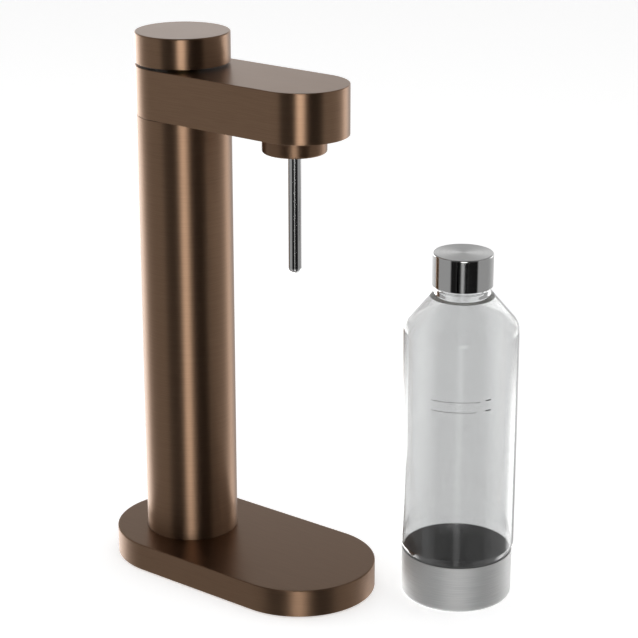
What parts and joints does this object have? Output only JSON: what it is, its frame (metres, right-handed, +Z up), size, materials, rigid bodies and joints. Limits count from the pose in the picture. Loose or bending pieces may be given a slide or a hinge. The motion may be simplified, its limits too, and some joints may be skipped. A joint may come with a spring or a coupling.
{
  "type": "sparkling water maker",
  "caption": "Tall round column on a flat round-ended base, with a flat arm, a press knob on top, a hanging carbonation tube, and a clear capped bottle standing beside it.",
  "frame": {"origin": "on the table, at the centre of the base's footprint, on the foot pad's lower face", "axes": "+Z up, +X from the column along the arm, +Y to the left seen from behind the column"},
  "size_m": [0.3131, 0.1687, 0.42],
  "materials": {
    "bronze_steel": "brown-bronze coated steel, finely brushed round the column and along the arm",
    "polished_steel": "polished bare steel",
    "cup_steel": "finely brushed bare steel",
    "plain_steel": "zinc-plated steel",
    "spring_steel": "drawn spring wire",
    "brass": "machined brass",
    "aluminium": "machined aluminium",
    "cast_metal": "grey cast metal",
    "cylinder_paint": "light grey painted metal",
    "dark_plastic": "black moulded plastic",
    "pale_plastic": "off-white moulded plastic",
    "dark_rubber": "black rubber",
    "pale_silicone": "translucent white silicone",
    "clear_pet": "clear thick-walled bottle plastic"
  },
  "bodies": {
    "stand": {"foot_pad": "dark_rubber", "base_plate": "plain_steel", "base_screw_1": "plain_steel", "base_screw_2": "plain_steel", "base_screw_3": "plain_steel", "base_screw_4": "plain_steel", "base_shell": "bronze_steel", "base_weight": "cast_metal", "column_flange": "plain_steel", "flange_screw_1": "plain_steel", "flange_screw_2": "plain_steel", "flange_screw_3": "plain_steel", "column_tube": "bronze_steel", "cylinder_guide": "dark_plastic", "column_top_ring": "aluminium", "top_screw_1": "plain_steel", "top_screw_2": "plain_steel", "top_screw_3": "plain_steel", "arm_cover": "bronze_steel", "arm_frame": "cast_metal", "arm_shell": "bronze_steel", "cover_screw_1": "plain_steel", "cover_screw_2": "plain_steel", "valve_block": "brass", "valve_seal": "dark_rubber", "valve_screw_1": "plain_steel", "valve_screw_2": "plain_steel", "rod_guide": "brass", "rod_seal": "dark_rubber", "knob_spring": "spring_steel", "gas_pipe": "polished_steel", "pipe_nut_rear": "brass", "pipe_nut_front": "brass", "bottle_collar": "bronze_steel", "collar_seal": "pale_silicone", "nozzle_head": "brass", "head_screw_1": "plain_steel", "head_screw_2": "plain_steel", "carbonation_tube": "polished_steel", "nozzle_tip": "polished_steel", "relief_body": "brass", "relief_spring": "spring_steel"},
    "cylinder": {"gas_cylinder": "cylinder_paint", "cylinder_valve": "brass", "burst_plug": "brass", "pin_spring": "spring_steel"},
    "pin": {"valve_pin": "polished_steel"},
    "knob": {"knob_cap": "bronze_steel", "knob_core": "dark_plastic", "push_rod": "polished_steel", "rod_clip": "spring_steel"},
    "poppet": {"relief_poppet": "dark_plastic"},
    "bottle": {"bottle_body": "clear_pet", "bottle_cup": "cup_steel"},
    "liner": {"cap_seal": "pale_silicone"},
    "cap": {"cap_core": "pale_plastic", "cap_shell": "polished_steel"}
  },
  "joints": [
    {"name": "knob_press", "type": "slide", "parent": "stand", "child": "knob", "axis": [0, 0, -1], "range_m": [0, 0.0016], "stiffness_N_per_m": 4000, "springref_m": -0.002, "deforming": ["knob_spring"]},
    {"name": "cylinder_turn", "type": "hinge", "parent": "stand", "child": "cylinder", "pos_m": [-0.05375, 0, 0.2], "axis": [0, 0, -1], "range_deg": [0, 720]},
    {"name": "pin_press", "type": "slide", "parent": "cylinder", "child": "pin", "axis": [0, 0, -1], "range_m": [0, 0.0016], "deforming": ["pin_spring"]},
    {"name": "poppet_lift", "type": "slide", "parent": "stand", "child": "poppet", "axis": [0, 0, 1], "range_m": [0, 0.0012], "stiffness_N_per_m": 2000, "springref_m": -0.002, "deforming": ["relief_spring"]},
    {"name": "bottle_lift", "type": "slide", "parent": "stand", "child": "bottle", "axis": [0, 0, 1], "range_m": [0, 0.0976]},
    {"name": "cap_rise", "type": "slide", "parent": "bottle", "child": "liner", "axis": [0, 0, 1], "range_m": [0, 0.06]},
    {"name": "cap_turn", "type": "hinge", "parent": "liner", "child": "cap", "pos_m": [0.15605, 0.0671, 0.26], "axis": [0, 0, 1], "range_deg": [0, 540]}
  ],
  "couplings": [
    {"joint": "pin_press", "follows": "knob_press", "ratio": 1},
    {"joint": "cap_rise", "follows": "cap_turn", "m_per_rad": 0.006366}
  ]
}
